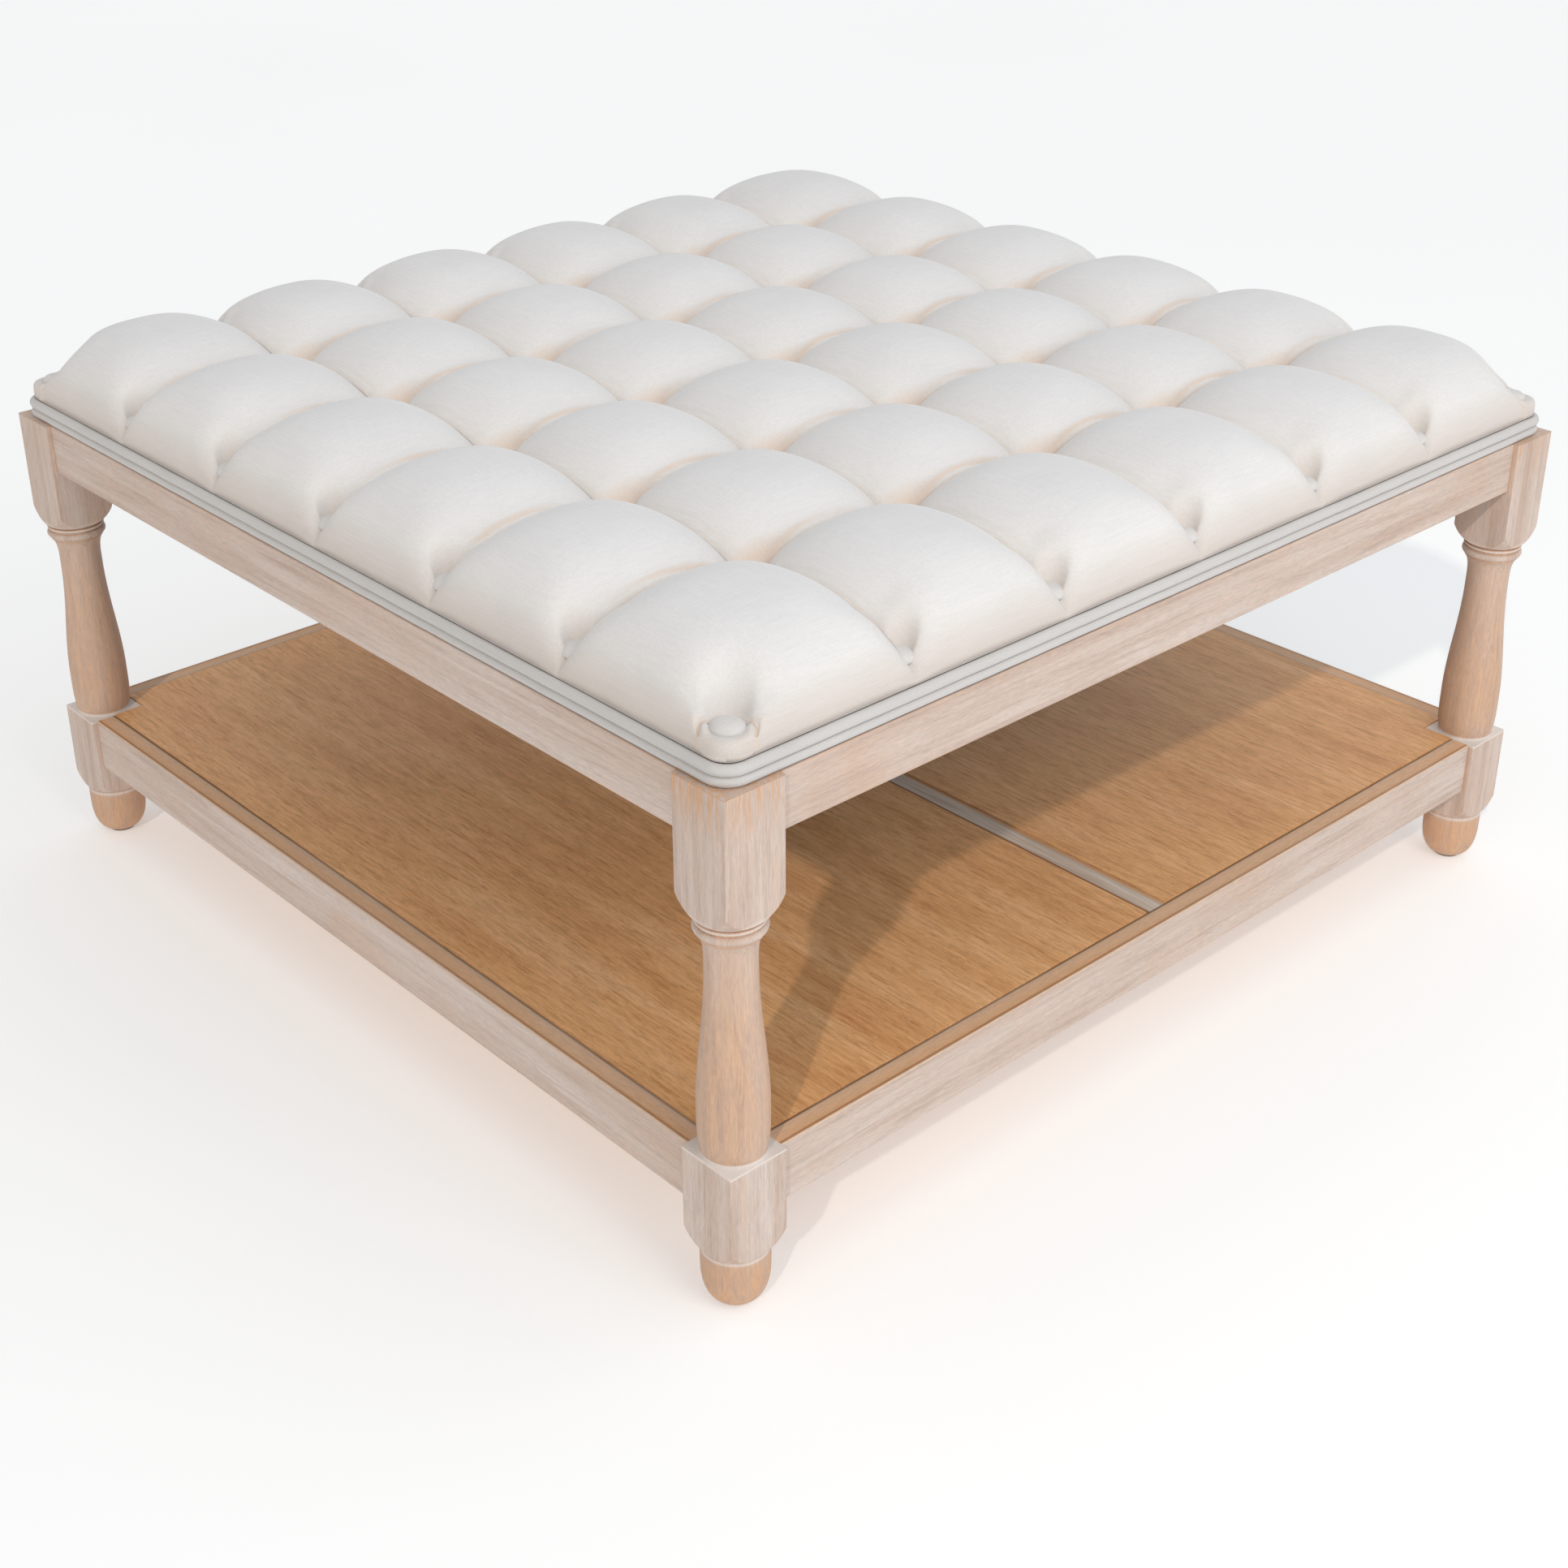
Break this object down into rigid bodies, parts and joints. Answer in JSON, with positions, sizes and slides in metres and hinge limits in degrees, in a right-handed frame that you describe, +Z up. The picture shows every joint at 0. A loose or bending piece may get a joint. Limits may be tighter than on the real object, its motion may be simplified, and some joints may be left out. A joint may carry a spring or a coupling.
{
  "type": "ottoman coffee table",
  "caption": "Square ottoman coffee table: button-tufted linen seat with a piped edge on turned, limed wood legs, with aprons and a low panelled shelf.",
  "frame": {"origin": "on the floor under the middle of the table", "axes": "+Z up, +X to the table's right, -Y to its front"},
  "size_m": [0.8484, 0.8484, 0.45],
  "materials": {
    "limed_leg": "limed, washed white over pale wood",
    "limed_rail": "limed, washed white over pale wood",
    "shelf_oak": "satin, mid brown veneer",
    "grey_strip": "satin, grey washed",
    "beech": "unfinished",
    "plywood": "unfinished",
    "linen": "matt off-white linen weave",
    "under_cloth": "matt black non-woven",
    "felt": "matt needle felt",
    "twine": "waxed twine",
    "zinc_steel": "zinc plated",
    "glide_nylon": "matt"
  },
  "bodies": {
    "root": {"apron_back": "limed_rail", "apron_dowels": "beech", "apron_front": "limed_rail", "apron_left": "limed_rail", "apron_right": "limed_rail", "base_felt": "felt", "bolt_nuts": "zinc_steel", "bolt_washers": "zinc_steel", "button_ties": "twine", "centre_rail_dowels": "beech", "corner_block_back_left": "beech", "corner_block_back_right": "beech", "corner_block_front_left": "beech", "corner_block_front_right": "beech", "corner_block_screws": "zinc_steel", "cover_buttons": "linen", "double_welt": "linen", "foot_glides": "glide_nylon", "hanger_bolts": "zinc_steel", "leg_back_left": "limed_leg", "leg_back_right": "limed_leg", "leg_front_left": "limed_leg", "leg_front_right": "limed_leg", "seat_board": "plywood", "seat_brace": "beech", "seat_brace_dowels": "beech", "seat_screws": "zinc_steel", "shelf_centre_rail": "grey_strip", "shelf_panel_back": "shelf_oak", "shelf_panel_front": "shelf_oak", "shelf_rail_back": "limed_rail", "shelf_rail_dowels": "beech", "shelf_rail_front": "limed_rail", "shelf_rail_left": "limed_rail", "shelf_rail_right": "limed_rail", "tie_toggles": "glide_nylon", "tufted_cover": "linen", "under_cloth": "under_cloth"}
  },
  "joints": []
}
